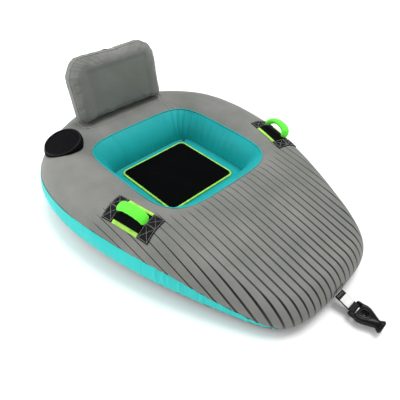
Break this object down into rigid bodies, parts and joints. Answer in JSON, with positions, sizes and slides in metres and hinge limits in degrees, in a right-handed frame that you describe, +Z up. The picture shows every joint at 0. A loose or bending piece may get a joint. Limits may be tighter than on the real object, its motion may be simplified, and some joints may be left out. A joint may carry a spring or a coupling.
{
  "type": "towable tube",
  "caption": "Inflatable sit-in water tube for one rider, with a sunken cockpit, padded backrest, webbing handles and a front quick tow connector.",
  "frame": {"origin": "on the ground, under the middle of the bounding box", "axes": "+X towards the nose and tow point, +Y to the rider's port side, +Z up"},
  "size_m": [1.8765, 1.2192, 0.6243],
  "materials": {
    "bladder_pvc": "smooth PVC film",
    "gray_nylon": "woven nylon, black pinstripes printed on the front deck",
    "dark_gray_nylon": "woven nylon, a little darker in the middle",
    "teal_band": "woven nylon, satin",
    "teal_liner": "woven nylon, satin",
    "black_nylon": "coated woven nylon",
    "eva_foam": "matte foam with a fine grain",
    "lime_binding": "woven webbing",
    "lime_grip": "smooth padded sleeve",
    "black_neoprene": "knit-faced foam",
    "black_webbing": "ribbed webbing",
    "black_plastic": "matte",
    "gloss_black_plastic": "glossy moulded",
    "white_label": "blank satin label",
    "steel": "plain"
  },
  "bodies": {
    "hull": {"main_bladder": "bladder_pvc", "floor_bladder": "bladder_pvc", "deck_panel": "gray_nylon", "side_band": "teal_band", "bottom_panel": "black_nylon", "cockpit_liner": "teal_liner", "cockpit_floor": "teal_liner", "rim_piping": "teal_band", "floor_pad": "eva_foam", "pad_binding": "lime_binding", "floor_drain": "black_plastic", "backrest_base_strip": "gray_nylon", "valve_base": "black_plastic", "port_handle_patch": "black_nylon", "port_end_patches": "black_nylon", "port_edge_strips": "lime_binding", "port_knuckle_guard": "black_neoprene", "starboard_handle_patch": "black_nylon", "starboard_end_patches": "black_nylon", "starboard_edge_strips": "lime_binding", "starboard_knuckle_guard": "black_neoprene", "tow_patch": "black_nylon", "zipper_tape": "black_webbing", "zipper_teeth": "black_plastic"},
    "backrest": {"backrest_bladder": "bladder_pvc", "backrest_front_panel": "dark_gray_nylon", "backrest_gusset": "gray_nylon", "backrest_rear_panel": "gray_nylon", "backrest_valve_base": "black_plastic"},
    "valve_cap": {"valve_cap": "black_plastic"},
    "valve_flap": {"valve_cover": "black_neoprene", "valve_cover_piping": "black_plastic"},
    "backrest_cap": {"backrest_valve_cap": "black_plastic"},
    "backrest_flap": {"backrest_valve_cover": "black_neoprene", "backrest_cover_piping": "black_plastic"},
    "port_handle": {"port_webbing": "black_webbing", "port_grip": "lime_grip"},
    "starboard_handle": {"starboard_webbing": "black_webbing", "starboard_grip": "lime_grip"},
    "tow_strap": {"tow_strap": "black_webbing", "tow_label": "white_label"},
    "tow_connector": {"tow_connector": "gloss_black_plastic"},
    "zipper_slider": {"zipper_slider": "steel"},
    "zipper_pull": {"zipper_pull": "steel"}
  },
  "joints": [
    {"name": "backrest_lean", "type": "hinge", "parent": "hull", "child": "backrest", "pos_m": [-0.698, 0.015, 0.301], "axis": [0, 1, 0], "range_deg": [-10, 8], "stiffness_Nm_per_rad": 60},
    {"name": "valve_cap_turn", "type": "hinge", "parent": "hull", "child": "valve_cap", "pos_m": [-0.59402, -0.40402, 0.29372], "axis": [-0.055, -0.0701, 0.996], "range_deg": [0, 90]},
    {"name": "valve_flap_lift", "type": "hinge", "parent": "hull", "child": "valve_flap", "pos_m": [-0.52769, -0.46859, 0.29116], "axis": [0.7071, 0.6836, 0.1806], "range_deg": [0, 100]},
    {"name": "backrest_cap_turn", "type": "hinge", "parent": "backrest", "child": "backrest_cap", "pos_m": [-0.78319, 0.015, 0.5175], "axis": [-0.9848, 0, -0.1736], "range_deg": [0, 90]},
    {"name": "backrest_flap_lift", "type": "hinge", "parent": "backrest", "child": "backrest_flap", "pos_m": [-0.7972, 0.015, 0.59524], "axis": [0, 1, 0], "range_deg": [0, 110]},
    {"name": "port_handle_tilt", "type": "hinge", "parent": "hull", "child": "port_handle", "pos_m": [0.022, 0.455, 0.29003], "axis": [0.973, -0.2139, -0.0871], "range_deg": [-15, 55], "stiffness_Nm_per_rad": 0.6},
    {"name": "starboard_handle_tilt", "type": "hinge", "parent": "hull", "child": "starboard_handle", "pos_m": [0.022, -0.455, 0.29003], "axis": [0.973, 0.2139, -0.0871], "range_deg": [-55, 15], "stiffness_Nm_per_rad": 0.6},
    {"name": "tow_strap_swing", "type": "hinge", "parent": "hull", "child": "tow_strap", "pos_m": [0.745, 0, 0.058], "axis": [0, 1, 0], "range_deg": [-70, 0]},
    {"name": "tow_connector_swing", "type": "hinge", "parent": "tow_strap", "child": "tow_connector", "pos_m": [0.823, 0, 0.036], "axis": [0, 1, 0], "range_deg": [-60, 45]},
    {"name": "zipper_run", "type": "hinge", "parent": "hull", "child": "zipper_slider", "pos_m": [-0.22223, 0, 0.08488], "axis": [0, 0, 1], "range_deg": [0, 16]},
    {"name": "zipper_pull_swing", "type": "hinge", "parent": "zipper_slider", "child": "zipper_pull", "pos_m": [-0.92331, 0.09853, 0.08116], "axis": [0.1392, 0.9903, 0], "range_deg": [0, 100]}
  ]
}
